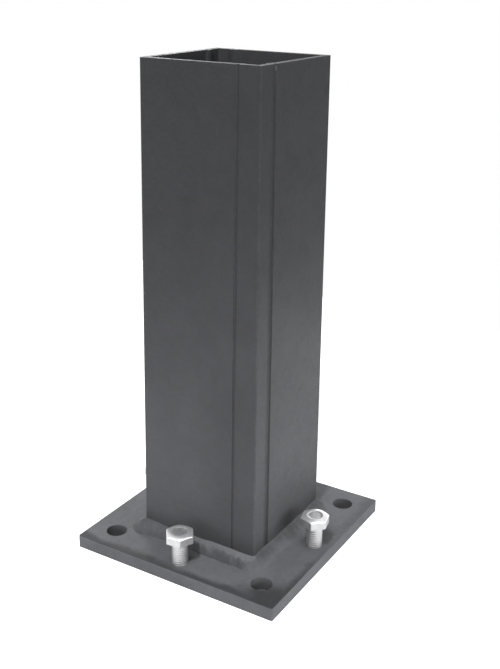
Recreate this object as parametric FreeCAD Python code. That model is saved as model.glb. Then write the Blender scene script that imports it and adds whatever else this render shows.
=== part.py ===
import FreeCAD, Part
import math
import os

# A short length of square fence post, welded upright on a square base plate.
# Millimetres. The origin is the centre of the plate's underside, +Z is up, and the post's
# sides face -Y (front), +X (right), +Y (back) and -X (left).

# Hollow section of the post
post_side = 80.0
post_wall = 4.0
post_length = 296.0
post_outer_corner_radius = 1.0
post_inner_corner_radius = 1.0

# One narrow groove runs the whole length of each side, close to one of the two corners
# that face front-right and back-left. A low bead inside keeps the wall whole there.
groove_from_corner = 15.0
groove_width = 2.5
groove_depth = 1.4

# Base plate
plate_side = 140.0
plate_thickness = 8.0
plate_corner_radius = 1.0
plate_edge_radius = 0.6

# Holes for the ground anchors, one near each corner of the plate
anchor_hole_diameter = 13.0
anchor_edge_distance = 17.0

# Fillet weld all round the foot of the post
weld_leg_on_plate = 7.0
weld_leg_on_post = 6.5
weld_crown = 0.6

# Hexagon-head levelling bolts, one at the middle of each edge of the plate
bolt_edge_distance = 10.5
bolt_diameter = 10.0
bolt_length = 20.0
bolt_across_flats = 16.0
bolt_head_height = 6.4
bolt_head_drop = 1.3
bolt_dish_diameter = 9.4
bolt_dish_depth = 0.5
bolt_washer_face_diameter = 14.6
bolt_washer_face_height = 0.4
bolt_tip_chamfer = 1.0
bolt_thread_clearance = 0.08
bolt_ground_clearance = 2.0
bolt_turns = {"front": 5.8, "right": 43.0, "back": 21.0, "left": 50.0}

# Sizes that follow
post_half = post_side / 2
plate_half = plate_side / 2
post_foot = plate_thickness
groove_round = groove_width / 2
bead_radius = groove_round + post_wall
anchor_reach = plate_half - anchor_edge_distance
bolt_reach = plate_half - bolt_edge_distance
bolt_radius = bolt_diameter / 2
bolt_hexagon_start = bolt_length + bolt_washer_face_height
bolt_top = bolt_length + bolt_head_height
side_angles = {"right": 0.0, "back": 90.0, "left": 180.0, "front": 270.0}

X = FreeCAD.Vector(1, 0, 0)
Y = FreeCAD.Vector(0, 1, 0)
Z = FreeCAD.Vector(0, 0, 1)
ORIGIN = FreeCAD.Vector(0, 0, 0)


def square_outline(half, corner_radius, height):
    """Closed outline of a square with rounded corners, lying level at a height."""
    straight = half - corner_radius
    slant = straight + corner_radius * math.sin(math.radians(45))
    edges = []
    for quarter in range(4):
        side = Part.LineSegment(
            FreeCAD.Vector(half, -straight, height),
            FreeCAD.Vector(half, straight, height)).toShape()
        corner = Part.Arc(
            FreeCAD.Vector(half, straight, height),
            FreeCAD.Vector(slant, slant, height),
            FreeCAD.Vector(straight, half, height)).toShape()
        for edge in (side, corner):
            edge.rotate(ORIGIN, Z, 90 * quarter)
            edges.append(edge)
    return Part.Wire(edges)


def square_prism(half, corner_radius, bottom, height):
    face = Part.Face(square_outline(half, corner_radius, bottom))
    return face.extrude(Z * height)


def groove_centre(across):
    """Centre of a groove's round floor, for the side that faces front or the side right."""
    along = post_half - groove_from_corner
    inward = post_half - groove_depth + groove_round
    if across == "front":
        return FreeCAD.Vector(along, -inward, post_foot)
    return FreeCAD.Vector(inward, -along, post_foot)


def groove_bead(across):
    """Round bar behind a groove, which shows as a low round bead on the inner face."""
    return Part.makeCylinder(bead_radius, post_length, groove_centre(across), Z)


def groove_cutter(across):
    """Round-floored slot, open to the outside of the post."""
    centre = groove_centre(across)
    floor = Part.makeCylinder(groove_round, post_length, centre, Z)
    corner = centre - (X if across == "front" else Y) * groove_round
    if across == "front":
        slot = Part.makeBox(groove_width, groove_depth, post_length,
                            corner - Y * groove_depth)
    else:
        slot = Part.makeBox(groove_depth, groove_width, post_length, corner)
    return floor.fuse(slot)


def turned_copies(shape):
    """The shape, and its twin half a turn round the post's axis."""
    twin = shape.copy()
    twin.rotate(ORIGIN, Z, 180)
    return [shape, twin]


def post_profile():
    outer = square_prism(post_half, post_outer_corner_radius, post_foot, post_length)
    inner = square_prism(post_half - post_wall, post_inner_corner_radius,
                         post_foot, post_length)
    beads = []
    cutters = []
    for across in ("front", "right"):
        beads += turned_copies(groove_bead(across).common(outer))
        cutters += turned_copies(groove_cutter(across))
    return outer.cut(inner).fuse(beads).cut(cutters).removeSplitter()


def base_plate():
    plate = square_prism(plate_half, plate_corner_radius, 0, plate_thickness)
    upper_edges = [edge for edge in plate.Edges
                   if edge.BoundBox.ZMin > plate_thickness - plate_edge_radius]
    plate = plate.makeFillet(plate_edge_radius, upper_edges)
    drills = []
    for x in (-anchor_reach, anchor_reach):
        for y in (-anchor_reach, anchor_reach):
            drills.append(Part.makeCylinder(
                anchor_hole_diameter / 2, plate_thickness, FreeCAD.Vector(x, y, 0), Z))
    for side in side_angles:
        drills.append(Part.makeCylinder(
            bolt_radius + bolt_thread_clearance, plate_thickness, bolt_place(side), Z))
    return plate.cut(drills)


def weld_section():
    """Section of the bead on the front side: two straight legs and a bulging face."""
    root = FreeCAD.Vector(0, -post_half, post_foot)
    toe = root - Y * weld_leg_on_plate
    top = root + Z * weld_leg_on_post
    outward = FreeCAD.Vector(0, -weld_leg_on_post, weld_leg_on_plate).normalize()
    crown = (toe + top) * 0.5 + outward * weld_crown
    return Part.Wire([
        Part.LineSegment(root, toe).toShape(),
        Part.Arc(toe, crown, top).toShape(),
        Part.LineSegment(top, root).toShape()])


def weld_bead():
    """The section carried along one side and round one corner, four times over."""
    straight = post_half - post_outer_corner_radius
    section = Part.Face(weld_section())
    side = section.copy()
    side.translate(-X * straight)
    side = side.extrude(X * 2 * straight)
    corner = section.copy()
    corner.translate(X * straight)
    pivot = FreeCAD.Vector(straight, -straight, post_foot)
    corner = corner.revolve(pivot, Z, 90)
    pieces = []
    for quarter in range(4):
        for piece in (side, corner):
            turned = piece.copy()
            turned.rotate(ORIGIN, Z, 90 * quarter)
            pieces.append(turned)
    return pieces[0].fuse(pieces[1:]).removeSplitter()


def bolt_place(side):
    """Foot of a levelling bolt's axis, on the plate's underside."""
    angle = math.radians(side_angles[side])
    return FreeCAD.Vector(bolt_reach * math.cos(angle), bolt_reach * math.sin(angle), 0)


def turned(points):
    """Solid turned about the Z axis from a closed outline of radius and height pairs."""
    corners = [FreeCAD.Vector(radius, 0, height) for radius, height in points]
    outline = Part.makePolygon(corners + corners[:1])
    return Part.Face(outline).revolve(ORIGIN, Z, 360)


def bolt_shank():
    """Shank with a chamfered tip, up to the round washer face under the head."""
    washer_radius = bolt_washer_face_diameter / 2
    return turned([
        (0, 0),
        (bolt_radius - bolt_tip_chamfer, 0),
        (bolt_radius, bolt_tip_chamfer),
        (bolt_radius, bolt_length),
        (washer_radius, bolt_length),
        (washer_radius, bolt_hexagon_start),
        (0, bolt_hexagon_start)])


def bolt_head():
    """Hexagon whose top slopes down to its corners from a shallow dish in the middle."""
    corner_reach = bolt_across_flats / 2 / math.cos(math.radians(30))
    corners = []
    for number in range(7):
        angle = math.radians(60 * number)
        corners.append(FreeCAD.Vector(corner_reach * math.cos(angle),
                                      corner_reach * math.sin(angle), bolt_hexagon_start))
    hexagon = Part.Face(Part.makePolygon(corners)).extrude(Z * (bolt_top - bolt_hexagon_start))
    slope = bolt_head_drop / (corner_reach - bolt_dish_diameter / 2)
    clear_radius = corner_reach + bolt_head_drop
    blank = turned([
        (0, bolt_hexagon_start),
        (clear_radius, bolt_hexagon_start),
        (clear_radius, bolt_top - slope * (clear_radius - bolt_dish_diameter / 2)),
        (bolt_dish_diameter / 2, bolt_top),
        (bolt_dish_diameter / 2 - bolt_dish_depth, bolt_top - bolt_dish_depth),
        (0, bolt_top - bolt_dish_depth)])
    return hexagon.common(blank)


def levelling_bolt(side):
    bolt = bolt_shank().fuse(bolt_head()).removeSplitter()
    bolt.rotate(ORIGIN, Z, bolt_turns[side])
    bolt.translate(bolt_place(side) + Z * bolt_ground_clearance)
    return bolt


def save(name, shape):
    solids = shape.Solids
    if len(solids) != 1 or not solids[0].isValid():
        raise ValueError(name + " is not one valid solid")
    solids[0].exportStep("parts/" + name + ".step")


os.makedirs("parts", exist_ok=True)
save("post_profile", post_profile())
save("base_plate", base_plate())
save("weld_bead", weld_bead())
for side_name in side_angles:
    save("levelling_bolt_" + side_name, levelling_bolt(side_name))
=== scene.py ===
import math

import bpy
import numpy as np
from mathutils import Matrix, Vector, noise


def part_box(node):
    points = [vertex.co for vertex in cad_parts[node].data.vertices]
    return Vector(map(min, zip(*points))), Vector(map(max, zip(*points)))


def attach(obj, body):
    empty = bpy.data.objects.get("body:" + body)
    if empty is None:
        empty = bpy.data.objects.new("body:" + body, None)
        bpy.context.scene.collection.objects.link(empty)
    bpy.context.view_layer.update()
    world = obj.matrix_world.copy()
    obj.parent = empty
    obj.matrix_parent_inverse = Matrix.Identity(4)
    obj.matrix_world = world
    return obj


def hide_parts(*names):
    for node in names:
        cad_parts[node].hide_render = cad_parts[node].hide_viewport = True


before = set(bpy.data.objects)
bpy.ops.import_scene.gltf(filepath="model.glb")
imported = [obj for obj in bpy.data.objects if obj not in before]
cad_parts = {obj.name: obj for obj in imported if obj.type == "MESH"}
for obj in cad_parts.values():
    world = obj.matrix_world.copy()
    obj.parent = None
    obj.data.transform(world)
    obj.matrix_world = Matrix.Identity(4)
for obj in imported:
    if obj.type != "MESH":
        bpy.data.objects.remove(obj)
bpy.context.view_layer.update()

# Looks of a square fence post that is welded upright on a base plate, with four levelling
# bolts. Metres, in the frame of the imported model: +Z is up, -Y is the front.

# Photograph, with angles in radians
frame_long_side_pixels = 669
camera_place = Vector((0.3087, -0.4964, 0.3573))
camera_azimuth = 0.5416
camera_pitch = 0.2592
camera_roll = 0.0138
camera_focal_pixels = 1008.4
camera_shift_y = -0.16
camera_clip_start = 0.01
camera_clip_end = 50
sensor_width_mm = 36.0

# Lamps: place, point they face, width, height, watts, and spread of the beam in degrees
lamps = {
    "overhead": ((0.05, -0.05, 2.30), (0, 0, 0.05), 0.9, 0.9, 19.5, 180),
    "key": ((0.28, -1.55, 2.62), (0, 0, 0.05), 0.28, 0.28, 60.0, 180),
    "side": ((1.20, -0.30, 0.50), (0, 0, 0.15), 0.4, 0.4, 2.4, 180),
    "fill": ((-0.90, 0.90, 0.60), (0, 0, 0.12), 0.5, 0.5, 5.0, 180),
    "low_front": ((-0.04, -0.20, 0.05), (0, 0, 0.05), 0.4, 0.04, 0.092, 110),
    "low_right": ((0.20, 0.00, 0.06), (0, 0, 0.06), 0.3, 0.04, 0.066, 90),
    "far_right": ((0.32, 0.00, 0.08), (0, 0, 0.08), 0.4, 0.06, 0.20, 180),
    "low_back": ((0.00, 0.20, 0.05), (0, 0, 0.05), 0.4, 0.04, 0.062, 110),
    "low_left": ((-0.20, 0.00, 0.05), (0, 0, 0.05), 0.4, 0.04, 0.062, 110),
}

# Base plate and post, as far as the looks depend on them
plate_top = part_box("base_plate")[1].z
plate_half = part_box("base_plate")[1].x
post_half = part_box("post_profile")[1].x
post_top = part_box("post_profile")[1].z

# Weld bead. The crowns, ripples and grains each hold the value of the other sides and then
# that of the front side, whose full bead runs out between the distances in weld_full_end.
weld_corner_radius = 0.001
weld_leg_on_plate = 0.0068
weld_leg_on_post = 0.0062
weld_wander_length = 0.012
weld_wander_on_plate = 0.0014
weld_wander_on_post = 0.0007
weld_wander_offset = Vector((0, 0, 7))
weld_finer_wander = 3.3
weld_finer_share = 0.5
weld_crowns = (0.0002, 0.0007)
weld_full_end = (0.027, 0.036)
weld_toe_hollow = 0.0004
weld_hollow_factor = 9.5
weld_unevenness = 0.9
weld_crown_pace = 1.9
weld_ripple_pace = 2.3
weld_ripple_pitch = 0.0030
weld_ripple_bow = 0.0022
weld_ripples = (0.00001, 0.00006)
weld_grains = (0.00007, 0.00016)
weld_grain_scale = 420
weld_grain_section = 0.006
weld_step = 0.0004
weld_corner_steps = 10
weld_rows = 18
weld_sink = 0.0002
weld_sharp_angle = 60

# Lumps where a pass of the weld stopped: x, y, height and spread, and what part of the height
# goes to the leg on the post and to the crown
weld_lumps = [(-0.041, -0.041, 0.0012, 0.009), (0.043, -0.030, 0.0010, 0.006),
              (0.043, 0.036, 0.0012, 0.007), (-0.043, 0.012, 0.0008, 0.007),
              (0.010, 0.043, 0.0008, 0.008)]
weld_lump_share = 0.5

# Levelling bolts, with their turns in degrees
bolt_turns = {"front": 5.8, "right": 43.0, "back": 21.0, "left": 50.0}
bolt_reach = sum(corner.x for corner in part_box("levelling_bolt_right")) / 2
bolt_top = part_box("levelling_bolt_right")[1].z
bolt_columns = 72
bolt_centre_radius = 0.0002
bolt_sharp_angle = 38
thread_pitch = 0.0015
thread_radius = 0.00498
thread_depth = 0.00014
thread_root_share = 0.22
thread_flank_share = 0.62
thread_rows_per_pitch = 8
thread_fade = 0.0018
tip_radius = 0.0040
washer_radius = 0.0073
washer_height = 0.0004
head_across_flats = 0.016
head_height = 0.0064
head_corner_round = 0.0005
head_foot_round = 0.0003
head_edge_drop = 0.0013
head_edge_power = 1.8
head_side_shares = (0.35, 0.7, 0.93)
head_edge_insets_and_drops = ((0.00006, 0.00008), (0.00022, 0), (0.0005, 0))
head_top_margin = 0.0005
head_top_shares = (0.8, 0.6, 0.4, 0.22, 0.1, 0)
dish_radius = 0.0047
dish_depth = 0.0003
dish_slope = (dish_radius - 0.0010, dish_radius + 0.0004)
dish_slope_radii = np.linspace(dish_radius + 0.0003, dish_radius - 0.0011, 8)
dish_floor_radii = (0.003, 0.002, 0.001, bolt_centre_radius)

# Colours, as brightness on the scale of linear light
coat_tint = (0.98, 1.0, 1.07)
post_greys = (0.076, 0.084)
plate_greys = (0.106, 0.128)
weld_greys = (0.074, 0.092)
# Grey of worn coat and specks, also used as painted light on the weld's upper front
worn_and_painted_light_grey = 0.17
# Grey of painted shade
painted_shade_grey = 0.030
zinc_tint = (1, 1, 1.015)
zinc_greys = (0.44, 0.50)
# Grey of the painted highlight on top of the bolts' heads
zinc_highlight_grey = 0.85
# Grey of the painted shade in the bolts' dish
zinc_dish_shade_grey = 0.40

# Finish of the coats and the plating
speck_strength = 0.25
post_mottle = 0.02
plate_mottle = 0.05
weld_mottle = 0.10
coat_roughness = (0.50, 0.62)
coat_specular = 0.06
zinc_roughness = (0.28, 0.34)
zinc_metallic = 0.74

# Patterns: scale, detail and roughness of a noise, and the range of its values that counts
patterns = {
    "cloud": (38, 4, 0.6, 0.3, 0.7),
    "speck": (1900, 2, 0.6, 0.58, 0.74),
    "mottle": (260, 3, 0.6, 0.3, 0.7),
    "gloss": (160, 6, 0.7, 0.45, 0.7),
    "thin": (240, 5, 0.7, 0.42, 0.62),
    "shade_edge_wander": (45, 4, 0.6, 0.3, 0.7),
    "chip": (210, 5, 0.7, 0.45, 0.65),
    "ragged": (190, 3, 0.6, 0.3, 0.7),
    "zinc_cloud": (260, 3, 0.55, 0.35, 0.65),
    "zinc_dish": (800, 3, 0.6, 0.35, 0.65),
    "zinc_gloss": (700, 3, 0.6, 0.3, 0.7),
}

# Reliefs: scale, detail and roughness of a noise, and the strength and depth of its bumps
reliefs = {
    "peel": (420, 3, 0.55, 0.35, 0.0004),
    "post_grain": (1500, 3, 0.6, 0.35, 0.0002),
    "plate_grain": (1500, 3, 0.6, 0.4, 0.0002),
    "weld_grain": (1500, 3, 0.6, 0.5, 0.0002),
    "drawn": (900, 2, 0.5, 0.10, 0.0001),
    "zinc": (900, 2, 0.5, 0.04, 0.0001),
}
drawn_stretch = (1, 1, 0.03)

# Bands of the coats and the plating. A band holds where it starts and where it ends, and then
# the values at its start and its end, which are 0 and 1 where they aren't given.

# Post, where grooved_corner is a band of x times y
post_thin_corner = (post_half - 0.0016, post_half - 0.0002, 0, 0.16)
post_thin_rim = (post_top - 0.0012, post_top, 0, 0.16)
# Painted light in the grooves' flanks, to lift their shade, more of it toward the top
groove_mouth = (post_half - 0.0003, post_half - 0.0001, 1, 0)
groove_floor = (post_half - 0.0012, post_half - 0.0008)
groove_below_rim = (post_top - 0.0012, post_top - 0.0006, 1, 0)
groove_off_corner = (post_half - 0.0120, post_half - 0.0110, 1, 0)
groove_painted_light_upward = (plate_top, post_top, 0.05, 0.80)
# Painted shade low on the front side's right half
front_face = (-post_half + 0.0002, -post_half + 0.0008, 1, 0)
front_shade_across = (-0.010, 0.022, 0, 0.15)
front_shade_up = (0.100, 0.150, 1, 0)
# Painted shade on the right and left sides beside their grooves, fading upward
side_face = (post_half - 0.0008, post_half - 0.0002)
grooved_corner = (-0.0008, -0.0004, 1, 0)
lip_start = (0.0258, 0.0262)
lip_end = (0.0262, 0.0305, 0.42, 0)
lip_up = (0.15, 0.25, 1, 0.4)
# Painted shade at the post's foot, just above the weld
foot_shade_up = (plate_top + weld_leg_on_post, plate_top + weld_leg_on_post + 0.012, 0.75, 1)

# Plate
plate_top_face = (plate_top - 0.0006, plate_top - 0.0001)
plate_side_face = (plate_top - 0.0009, plate_top - 0.0005, 1, 0)
# Painted shade inside the front and right edges and near the corner between them
plate_front_edge = (0.0020, 0.0082, 0.75, 0)
plate_right_edge = (0.0008, 0.0090, 0.90, 0)
plate_right_edge_along = (-plate_half, 0.020, 1, 0.32)
plate_right_strip = (0.012, 0.030, 0.16, 0)
plate_right_strip_along = (0.020, 0.050, 1, 0)
plate_edge_wander = 0.002
plate_corner = Vector((plate_half, -plate_half, plate_top))
plate_corner_shade = (0.014, 0.036, 0.85, 0)
plate_corner_wander = 0.004
plate_rubbed_place = Vector((post_half + 0.008, -post_half - 0.008, plate_top))
plate_rubbed = (0.002, 0.014, 0.22, 0)
plate_chipped_edge = (0.0001, 0.0007, 0.10, 0)
# Painted shade on the plate's sides and underside, but for its right side
plate_side_shade = (plate_half - 0.0010, plate_half - 0.0002, 0.12, 0)

# Weld, with heights over the plate
weld_ragged_height = 0.0012
weld_front = (-post_half - 0.0005, -post_half + 0.0025, 1, 0)
weld_front_end = (0.034, 0.041, 1, 0)
# Painted shade on the lower front of the bead
weld_low_shade = (0.0010, 0.0045, 0.35, 0)
weld_low_shade_across = (-0.012, 0.010, 0.3, 1)
# Painted light on the upper front of the bead
weld_high_light = (0.0030, 0.0055, 0, 0.50)
weld_high_light_across = (-0.014, 0.004)
# Painted shade on the bead's right side
weld_right_shade = (post_half - 0.0005, post_half + 0.0020, 0, 0.36)
weld_toe = (0.0, 0.0062, 0.8, 0)

# Bolts' heads
# Painted shade in the bolts' dish
zinc_disc = (dish_radius - 0.0003, dish_radius + 0.0003, 1, 0)
zinc_on_head = (bolt_top - 0.0026, bolt_top - 0.0021)
zinc_dish_strengths = (0.35, 1.0)
# Painted highlight on top of the bolts' heads
zinc_top_highlight = (bolt_top - 0.0018, bolt_top - 0.0008, 0, 0.7)

# Sky and floor
sky_band = (-0.15, 0.5, 0.01, 0.03)
floor_half = 0.45
# Painted shadow on the floor under the plate, where it is dark and doesn't glow
floor_outside_plate = (plate_half - 0.0015, plate_half + 0.0005)
floor_shadow_and_pale_greys = (0.10, 0.86)
floor_tint = (1, 1, 1.005)
floor_roughness = 0.9
floor_glow = 0.60
white = (1, 1, 1, 1)


def grid_faces(rows, columns, closed=False):
    """Quads between the rows of a grid of points. Each row is a closed ring, and if closed,
    the last row also meets the first."""
    faces = []
    for row in range(rows if closed else rows - 1):
        upper = (row + 1) % rows
        for column in range(columns):
            after = (column + 1) % columns
            faces.append((row * columns + column, row * columns + after,
                          upper * columns + after, upper * columns + column))
    return faces


def mesh_piece(name, points, faces, body, node, sharp_angle):
    """Smooth-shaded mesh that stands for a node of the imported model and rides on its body."""
    mesh = bpy.data.meshes.new(name)
    mesh.from_pydata([tuple(point) for point in points], [], faces)
    mesh.validate()
    mesh.shade_smooth()
    mesh.set_sharp_from_angle(angle=math.radians(sharp_angle))
    piece = bpy.data.objects.new(name, mesh)
    bpy.context.scene.collection.objects.link(piece)
    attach(piece, body)
    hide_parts(node)
    return piece


def smooth_step(low, high, value):
    share = np.clip((value - low) / (high - low), 0, 1)
    return share * share * (3 - 2 * share)


# Levelling bolts

def hexagon_reach(angle, across_flats, corner_round):
    """Distance from the axis to the side of a hexagon with rounded corners."""
    inner = across_flats / 2 - corner_round
    turn = np.mod(angle, math.pi / 3) - math.pi / 6
    corner = inner / math.cos(math.pi / 6)
    flat_reach = (inner + corner_round) / np.cos(turn)
    off_corner = math.pi / 6 - np.abs(turn)
    along = corner * np.cos(off_corner)
    across = corner * np.sin(off_corner)
    round_reach = along + np.sqrt(np.maximum(corner_round ** 2 - across ** 2, 0))
    on_round = flat_reach * np.sin(np.abs(turn)) > inner * math.tan(math.pi / 6)
    return np.where(on_round, round_reach, flat_reach)


def thread_reach(angle, height, top):
    """Distance from the axis to the thread's surface at a height over the bolt's tip."""
    phase = np.mod(height / thread_pitch - angle / (2 * math.pi), 1)
    off_root = np.abs(2 * phase - 1) - thread_root_share
    crest = np.clip(off_root / thread_flank_share, 0, 1)
    depth = thread_depth * smooth_step(0, thread_fade, top - height)
    reach = thread_radius - depth * (1 - crest)
    return np.minimum(reach, tip_radius + height)


def head_top(reach, top):
    """Height of the head's top: a dish in the middle, and a ring that falls to the corners."""
    corner = head_across_flats / 2 / math.cos(math.pi / 6)
    ring = np.clip((reach - dish_radius) / (corner - dish_radius), 0, 1)
    dish = 1 - smooth_step(*dish_slope, reach)
    return top - head_edge_drop * ring ** head_edge_power - dish_depth * dish


def bolt_rings(tip, under_head, top):
    """Rings of points from the tip's centre up to the head's centre."""
    angle = np.linspace(0, 2 * math.pi, bolt_columns, endpoint=False)
    level = np.ones(bolt_columns)
    length = under_head - tip
    rings = [(bolt_centre_radius * level, tip * level)]
    steps = round(length / thread_pitch * thread_rows_per_pitch)
    for height in np.linspace(0, length, steps + 1):
        rings.append((thread_reach(angle, height, length), (tip + height) * level))
    foot = under_head + washer_height
    rings.append((washer_radius * level, under_head * level))
    rings.append((washer_radius * level, foot * level))
    side = hexagon_reach(angle, head_across_flats, head_corner_round)
    edge = head_top(side, top)
    rings.append((side - head_foot_round, foot * level))
    rings.append((side, foot + head_foot_round * level))
    for share in head_side_shares:
        rings.append((side, foot + (edge - foot) * share))
    for inset, drop in head_edge_insets_and_drops:
        rings.append((side - inset, head_top(side - inset, top) - drop))
    inner = dish_radius + head_top_margin
    outer = side - head_top_margin
    for share in head_top_shares:
        reach = inner + (outer - inner) * share
        rings.append((reach, head_top(reach, top)))
    for radius in (*dish_slope_radii, *dish_floor_radii):
        rings.append((radius * level, head_top(radius * level, top)))
    return angle, rings


def levelling_bolt(side, turn):
    node = "levelling_bolt_" + side
    low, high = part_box(node)
    centre = (low + high) / 2
    angle, rings = bolt_rings(low.z, high.z - head_height, high.z)
    turned = angle + math.radians(turn)
    points = []
    for reach, height in rings:
        points += zip(centre.x + reach * np.cos(turned),
                      centre.y + reach * np.sin(turned), height)
    faces = grid_faces(len(rings), bolt_columns)
    first = tuple(reversed(range(bolt_columns)))
    last = tuple(range(len(points) - bolt_columns, len(points)))
    return mesh_piece("bolt_" + side + "_detail", points, faces + [first, last],
                      "bolt_" + side, node, bolt_sharp_angle)


# Weld bead

def weld_path():
    """Places round the post's foot, each with the direction that points away from it."""
    straight = post_half - weld_corner_radius
    side_steps = round(2 * straight / weld_step)
    places = []
    for quarter in range(4):
        turn = Matrix.Rotation(math.radians(90 * quarter), 3, "Z")
        for step in range(side_steps):
            along = -straight + 2 * straight * step / side_steps
            places.append((turn @ Vector((along, -post_half, 0)), turn @ Vector((0, -1, 0))))
        for step in range(weld_corner_steps):
            swing = Matrix.Rotation(math.radians(90 * step / weld_corner_steps), 3, "Z")
            away = swing @ Vector((0, -1, 0))
            corner = Vector((straight, -straight, 0)) + away * weld_corner_radius
            places.append((turn @ corner, turn @ away))
    return places


def weld_lump(place):
    """Extra metal near the places where a pass of the weld stopped."""
    extra = 0.0
    for x, y, height, spread in weld_lumps:
        away = math.hypot(place.x - x, place.y - y)
        extra += height * math.exp(-(away / spread) ** 2)
    return extra


def weld_fullness(place, away):
    """1 along the front side, where the bead stands full, and 0 where it lies nearly flat."""
    return max(-away.y, 0) * (1 - smooth_step(*weld_full_end, abs(place.x)))


def mixed(pair, share):
    first, second = pair
    return first + (second - first) * share


def uneven(wander, pace):
    """Factor that wanders round 1 along the bead."""
    return 1 + weld_unevenness * noise.noise(wander * pace)


def weld_section(place, away, run):
    """Points of one section of the bead, from its toe on the plate up the post."""
    wander = Vector((place.x, place.y, 0)) / weld_wander_length
    lump = weld_lump(place)
    full = weld_fullness(place, away)
    finer = weld_finer_share * noise.noise(wander * weld_finer_wander)
    leg_on_plate = (weld_leg_on_plate + lump
                    + weld_wander_on_plate * (noise.noise(wander) + finer))
    leg_on_post = (weld_leg_on_post + weld_lump_share * lump
                   + weld_wander_on_post * noise.noise(wander + weld_wander_offset))
    bulge = mixed(weld_crowns, full) + weld_lump_share * lump
    bulge *= uneven(wander, weld_crown_pace)
    hollow = weld_toe_hollow * (1 - full)
    ripple = mixed(weld_ripples, full) * uneven(wander, weld_ripple_pace)
    grain_height = mixed(weld_grains, full)
    toe = place + away * leg_on_plate
    top = place + Vector((0, 0, leg_on_post))
    outward = (away * leg_on_post + Vector((0, 0, leg_on_plate))).normalized()
    points = []
    for row in range(weld_rows + 1):
        share = row / weld_rows
        arch = 4 * share * (1 - share)
        dip = weld_hollow_factor * share * (1 - share) ** 3
        wave = math.cos(2 * math.pi * (run + weld_ripple_bow * arch) / weld_ripple_pitch)
        spot = Vector((place.x, place.y, share * weld_grain_section))
        grain = noise.noise(spot * weld_grain_scale)
        lift = bulge * arch - hollow * dip + arch ** 0.5 * (
            ripple * wave + grain_height * grain)
        point = toe.lerp(top, share) + outward * lift
        points.append((point.x, point.y, plate_top + max(point.z, 0)))
    back = place - away * weld_sink
    points.append((back.x, back.y, plate_top + leg_on_post))
    points.append((back.x, back.y, plate_top))
    return points


def weld_bead():
    """Fillet bead with uneven legs, faint ripples, and lumps where its passes stop."""
    points = []
    places = weld_path()
    run = 0.0
    before = places[0][0]
    for place, away in places:
        run += (place - before).length
        before = place
        points += weld_section(place, away, run)
    faces = grid_faces(len(places), len(points) // len(places), closed=True)
    return mesh_piece("weld_bead_detail", points, faces, "post", "weld_bead",
                      weld_sharp_angle)


# Materials

class Nodes:
    """Adds nodes to the shader tree of a material or a world."""

    def __init__(self, owner, output, place="Object"):
        owner.use_nodes = True
        self.tree = owner.node_tree
        self.tree.nodes.clear()
        self.output = self.tree.nodes.new(output)
        self.place = self.add("ShaderNodeTexCoord").outputs[place]
        self.axes = self.add("ShaderNodeSeparateXYZ", {0: self.place}).outputs

    def add(self, kind, inputs=None, **settings):
        node = self.tree.nodes.new(kind)
        for name, value in settings.items():
            setattr(node, name, value)
        for name, value in (inputs or {}).items():
            if isinstance(value, bpy.types.NodeSocket):
                self.tree.links.new(value, node.inputs[name])
            else:
                node.inputs[name].default_value = value
        return node

    def math(self, operation, first, second=0.0):
        return self.add("ShaderNodeMath", {0: first, 1: second},
                        operation=operation).outputs[0]

    def plus(self, first, second):
        return self.math("ADD", first, second)

    def minus(self, first, second):
        return self.math("SUBTRACT", first, second)

    def unsigned(self, value):
        return self.math("ABSOLUTE", value)

    def most(self, first, second):
        return self.math("MAXIMUM", first, second)

    def least(self, first, second):
        return self.math("MINIMUM", first, second)

    def times(self, first, *others):
        for other in others:
            first = self.math("MULTIPLY", first, other)
        return first

    def band(self, value, low, high, start=0.0, end=1.0):
        """The value carried from one range to another, smoothly and held at the ends."""
        return self.add("ShaderNodeMapRange", {
            "Value": value, "From Min": low, "From Max": high, "To Min": start, "To Max": end},
            interpolation_type="SMOOTHSTEP").outputs["Result"]

    def noise(self, scale, detail, rough, vector=None):
        return self.add("ShaderNodeTexNoise", {
            "Vector": vector or self.place, "Scale": scale,
            "Detail": detail, "Roughness": rough}).outputs["Fac"]

    def pattern(self, name, start=0.0, end=1.0):
        """A noise from the table of patterns, spread over the values given."""
        scale, detail, rough, low, high = patterns[name]
        return self.band(self.noise(scale, detail, rough), low, high, start, end)

    def relief(self, name, normal=None, vector=None):
        """A noise from the table of reliefs as bumps, on top of those in the normal given."""
        scale, detail, rough, strength, depth = reliefs[name]
        inputs = {"Height": self.noise(scale, detail, rough, vector),
                  "Strength": strength, "Distance": depth}
        if normal is not None:
            inputs["Normal"] = normal
        return self.add("ShaderNodeBump", inputs).outputs["Normal"]

    def blend(self, share, first, second):
        """Mix of two values, through the inputs that the node keeps for single values."""
        return self.add("ShaderNodeMix", {0: share, 2: first, 3: second}).outputs[0]

    def tinted(self, brightness, tint):
        return self.add("ShaderNodeVectorMath", {0: tint, "Scale": brightness},
                        operation="SCALE").outputs["Vector"]

    def across(self):
        """Distance from the vertical axis to the square ring a point lies on."""
        return self.most(self.unsigned(self.axes[0]), self.unsigned(self.axes[1]))

    def beside(self):
        """Distance along a side of that ring from the side's middle."""
        return self.least(self.unsigned(self.axes[0]), self.unsigned(self.axes[1]))

    def distance(self, point):
        return self.add("ShaderNodeVectorMath", {0: self.place, 1: point},
                        operation="DISTANCE").outputs["Value"]

    def surface(self, **inputs):
        shader = self.add("ShaderNodeBsdfPrincipled",
                          {name.replace("_", " "): value for name, value in inputs.items()})
        self.tree.links.new(shader.outputs[0], self.output.inputs["Surface"])


def new_material(name):
    material = bpy.data.materials.new(name)
    return material, Nodes(material, "ShaderNodeOutputMaterial")


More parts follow.
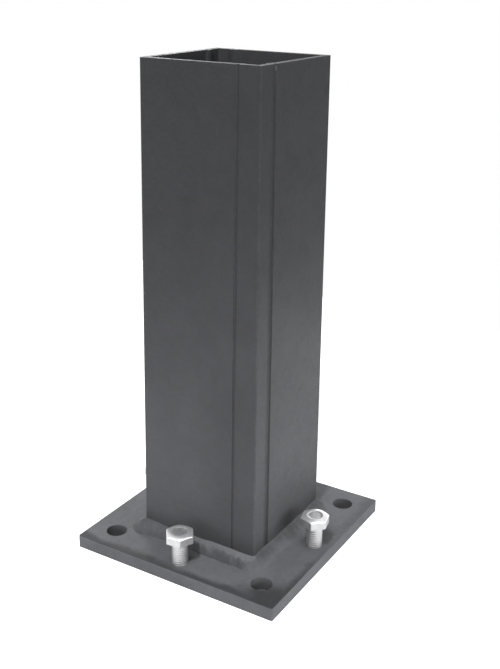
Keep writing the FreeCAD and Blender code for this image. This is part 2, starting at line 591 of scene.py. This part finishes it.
def powder_coat(nodes, greys, mottle, grain):
    """Brightness, roughness and normal of a fine-texture powder coat in two close greys."""
    grey = nodes.blend(nodes.pattern("cloud"), *greys)
    grey = nodes.blend(nodes.pattern("speck", 0, speck_strength), grey, worn_and_painted_light_grey)
    grey = nodes.times(grey, nodes.pattern("mottle", 1 - mottle, 1 + mottle))
    rough = nodes.pattern("gloss", *coat_roughness)
    normal = nodes.relief(grain, nodes.relief("peel"))
    return grey, rough, normal


def coat_surface(nodes, grey, rough, normal):
    nodes.surface(Base_Color=nodes.tinted(grey, coat_tint), Roughness=rough, Normal=normal,
                  Specular_IOR_Level=coat_specular)


def post_coat():
    """Coat of the drawn section: thin at its corners and its rim, with painted light up its
    grooves, and painted shade low on the front side's right half, beside the grooves of the
    right and left sides, and at the foot."""
    material, nodes = new_material("post_coat")
    x, y, z = nodes.axes
    across = nodes.across()
    beside = nodes.beside()
    grey, rough, normal = powder_coat(nodes, post_greys, post_mottle, "post_grain")

    thin = nodes.most(nodes.band(beside, *post_thin_corner), nodes.band(z, *post_thin_rim))
    grey = nodes.blend(nodes.times(thin, nodes.pattern("thin")), grey, worn_and_painted_light_grey)
    drawn = nodes.add("ShaderNodeMapping", {"Vector": nodes.place, "Scale": drawn_stretch})
    normal = nodes.relief("drawn", normal, drawn.outputs[0])

    # Painted light in the grooves' flanks, more of it toward the top
    in_groove = nodes.times(nodes.band(across, *groove_mouth), nodes.band(across, *groove_floor),
                            nodes.band(z, *groove_below_rim),
                            nodes.band(beside, *groove_off_corner))
    groove_painted_light = nodes.times(in_groove, nodes.band(z, *groove_painted_light_upward))
    grey = nodes.times(grey, nodes.plus(1.0, groove_painted_light))

    # Painted shade low on the front side's right half
    painted_shade = nodes.times(nodes.band(y, *front_face), nodes.band(x, *front_shade_across),
                       nodes.band(z, *front_shade_up))
    # Painted shade beside the grooves of the right and left sides
    lip_shade = nodes.times(nodes.band(beside, *lip_end), nodes.band(beside, *lip_start),
                      nodes.band(nodes.unsigned(x), *side_face),
                      nodes.band(nodes.times(x, y), *grooved_corner),
                      nodes.band(z, *lip_up))
    grey = nodes.times(grey, nodes.minus(1.0, nodes.most(painted_shade, lip_shade)))
    # Painted shade at the foot, above the weld
    grey = nodes.times(grey, nodes.band(z, *foot_shade_up))
    coat_surface(nodes, grey, rough, normal)
    return material


def plate_coat():
    """Coat of the plate: painted shade inside its front and right edges and near the corner
    between them, rubbed where the weld turns that corner, chipped along its upper edge, and
    painted shade on its sides and underside but for its right side."""
    material, nodes = new_material("plate_coat")
    x, y, z = nodes.axes
    on_top = nodes.band(z, *plate_top_face)
    grey, rough, normal = powder_coat(nodes, plate_greys, plate_mottle, "plate_grain")

    # Painted shade inside the front and right edges and near the corner between them
    shade_edge_wander = nodes.pattern("shade_edge_wander", -1, 1)
    wander = nodes.times(shade_edge_wander, plate_edge_wander)
    off_front = nodes.plus(y, plate_half)
    off_right = nodes.minus(plate_half, x)
    front = nodes.band(nodes.plus(off_front, wander), *plate_front_edge)
    right = nodes.times(nodes.band(nodes.plus(off_right, wander), *plate_right_edge),
                        nodes.band(y, *plate_right_edge_along))
    strip = nodes.times(nodes.band(off_right, *plate_right_strip),
                        nodes.band(y, *plate_right_strip_along))
    off_corner = nodes.plus(nodes.distance(plate_corner),
                            nodes.times(shade_edge_wander, plate_corner_wander))
    corner = nodes.band(off_corner, *plate_corner_shade)
    painted_shade = nodes.most(nodes.most(front, nodes.most(right, strip)), corner)
    grey = nodes.blend(nodes.times(on_top, painted_shade), grey, painted_shade_grey)

    rubbed = nodes.band(nodes.distance(plate_rubbed_place), *plate_rubbed)
    grey = nodes.blend(rubbed, grey, worn_and_painted_light_grey)
    off_edge = nodes.minus(plate_half, nodes.across())
    chipped = nodes.times(nodes.band(off_edge, *plate_chipped_edge), on_top,
                          nodes.pattern("chip"))
    grey = nodes.blend(chipped, grey, worn_and_painted_light_grey)
    # Painted shade on the sides and underside, but for the right side
    side_shade = nodes.times(nodes.band(z, *plate_side_face), nodes.band(x, *plate_side_shade))
    grey = nodes.blend(side_shade, grey, painted_shade_grey)
    coat_surface(nodes, grey, rough, normal)
    return material


def weld_coat():
    """Coat over the bead: painted light above and painted shade below along the front side, more
    so toward its right end, painted shade on the right side, and fading into the plate's grey
    toward the other sides' toes."""
    material, nodes = new_material("weld_coat")
    x, y, z = nodes.axes
    grey, rough, normal = powder_coat(nodes, weld_greys, weld_mottle, "weld_grain")

    ragged = nodes.pattern("ragged", -weld_ragged_height, weld_ragged_height)
    height = nodes.plus(nodes.minus(z, plate_top), ragged)
    front = nodes.band(y, *weld_front)
    full = nodes.times(front, nodes.band(x, *weld_front_end))
    # Painted shade on the lower front of the bead
    low = nodes.times(nodes.band(height, *weld_low_shade), full, nodes.band(x, *weld_low_shade_across))
    grey = nodes.blend(low, grey, painted_shade_grey)
    # Painted light on the upper front of the bead
    high = nodes.times(nodes.band(height, *weld_high_light), front, nodes.band(x, *weld_high_light_across))
    grey = nodes.blend(high, grey, worn_and_painted_light_grey)
    # Painted shade on the right side of the bead
    grey = nodes.blend(nodes.band(x, *weld_right_shade), grey, painted_shade_grey)
    toe = nodes.times(nodes.band(height, *weld_toe), nodes.minus(1.0, full))
    grey = nodes.blend(toe, grey, sum(plate_greys) / 2)
    coat_surface(nodes, grey, rough, normal)
    return material


def zinc_plating():
    """Zinc plating, with a painted highlight on top of the bolts' heads and painted shade in
    their dish.
    """
    material, nodes = new_material("zinc_plating")
    z = nodes.axes[2]
    grey = nodes.blend(nodes.pattern("zinc_cloud"), *zinc_greys)
    along = nodes.minus(nodes.across(), bolt_reach)
    beside = nodes.beside()
    reach = nodes.math("SQRT", nodes.plus(nodes.times(along, along),
                                          nodes.times(beside, beside)))
    # Painted shade in the heads' dish
    dish = nodes.times(nodes.band(reach, *zinc_disc), nodes.band(z, *zinc_on_head),
                       nodes.pattern("zinc_dish", *zinc_dish_strengths))
    # Painted highlight on top of the heads
    grey = nodes.blend(nodes.band(z, *zinc_top_highlight), grey, zinc_highlight_grey)
    grey = nodes.blend(dish, grey, zinc_dish_shade_grey)
    nodes.surface(Base_Color=nodes.tinted(grey, zinc_tint),
                  Roughness=nodes.pattern("zinc_gloss", *zinc_roughness),
                  Normal=nodes.relief("zinc"), Metallic=zinc_metallic)
    return material


def seen_directly(nodes):
    """1 for what the camera sees, itself or in metal and glass, and 0 for other light."""
    path = nodes.add("ShaderNodeLightPath").outputs
    shiny = nodes.most(path["Is Glossy Ray"], path["Is Transmission Ray"])
    return nodes.most(path["Is Camera Ray"], shiny)


def floor_paint():
    """Pale floor that glows to the camera, so that only the object's shadow stays grey, with a
    painted shadow under the plate, where it is dark and doesn't glow.
    """
    material, nodes = new_material("floor_paint")
    # Painted shadow under the plate
    outside = nodes.band(nodes.across(), *floor_outside_plate)
    grey = nodes.blend(outside, *floor_shadow_and_pale_greys)
    glow = nodes.times(seen_directly(nodes), outside, floor_glow)
    nodes.surface(Base_Color=nodes.tinted(grey, floor_tint), Roughness=floor_roughness,
                  Specular_IOR_Level=0.0, Emission_Color=white, Emission_Strength=glow)
    return material


def coat(piece, material):
    piece.data.materials.clear()
    piece.data.materials.append(material)


# Stage

def studio_world():
    world = bpy.data.worlds.new("studio")
    bpy.context.scene.world = world
    nodes = Nodes(world, "ShaderNodeOutputWorld", "Generated")
    strength = nodes.most(nodes.band(nodes.axes[2], *sky_band), seen_directly(nodes))
    shine = nodes.add("ShaderNodeBackground", {"Color": white, "Strength": strength})
    nodes.tree.links.new(shine.outputs[0], nodes.output.inputs["Surface"])


def soft_box(name, place, target, width, height, watts, spread):
    lamp = bpy.data.lights.new(name, "AREA")
    lamp.shape = "RECTANGLE"
    lamp.size = width
    lamp.size_y = height
    lamp.energy = watts
    lamp.spread = math.radians(spread)
    box = bpy.data.objects.new(name, lamp)
    box.location = place
    box.rotation_euler = (Vector(target) - Vector(place)).to_track_quat("-Z", "Y").to_euler()
    box.visible_camera = False
    bpy.context.scene.collection.objects.link(box)


def floor():
    mesh = bpy.data.meshes.new("floor")
    mesh.from_pydata([(-floor_half, -floor_half, 0), (floor_half, -floor_half, 0),
                      (floor_half, floor_half, 0), (-floor_half, floor_half, 0)],
                     [], [(0, 1, 2, 3)])
    plane = bpy.data.objects.new("floor", mesh)
    bpy.context.scene.collection.objects.link(plane)
    return plane


def photo_camera():
    data = bpy.data.cameras.new("photo_camera")
    data.sensor_width = sensor_width_mm
    data.lens = camera_focal_pixels / frame_long_side_pixels * sensor_width_mm
    data.shift_y = camera_shift_y
    data.clip_start = camera_clip_start
    data.clip_end = camera_clip_end
    camera = bpy.data.objects.new("photo_camera", data)
    bpy.context.scene.collection.objects.link(camera)
    forward = Vector((-math.sin(camera_azimuth) * math.cos(camera_pitch),
                      math.cos(camera_azimuth) * math.cos(camera_pitch),
                      -math.sin(camera_pitch)))
    level = Vector((math.cos(camera_azimuth), math.sin(camera_azimuth), 0))
    upright = level.cross(forward)
    right = level * math.cos(camera_roll) + upright * math.sin(camera_roll)
    up = upright * math.cos(camera_roll) - level * math.sin(camera_roll)
    axes = Matrix((right, up, -forward)).transposed()
    camera.matrix_world = Matrix.Translation(camera_place) @ axes.to_4x4()
    bpy.context.scene.camera = camera


photo_camera()

coat(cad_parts["post_profile"], post_coat())
coat(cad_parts["base_plate"], plate_coat())
coat(weld_bead(), weld_coat())
zinc = zinc_plating()
for side_name, bolt_turn in bolt_turns.items():
    coat(levelling_bolt(side_name, bolt_turn), zinc)

coat(floor(), floor_paint())
studio_world()
for lamp_name, lamp_values in lamps.items():
    soft_box(lamp_name, *lamp_values)

bpy.context.scene.view_settings.view_transform = "Standard"
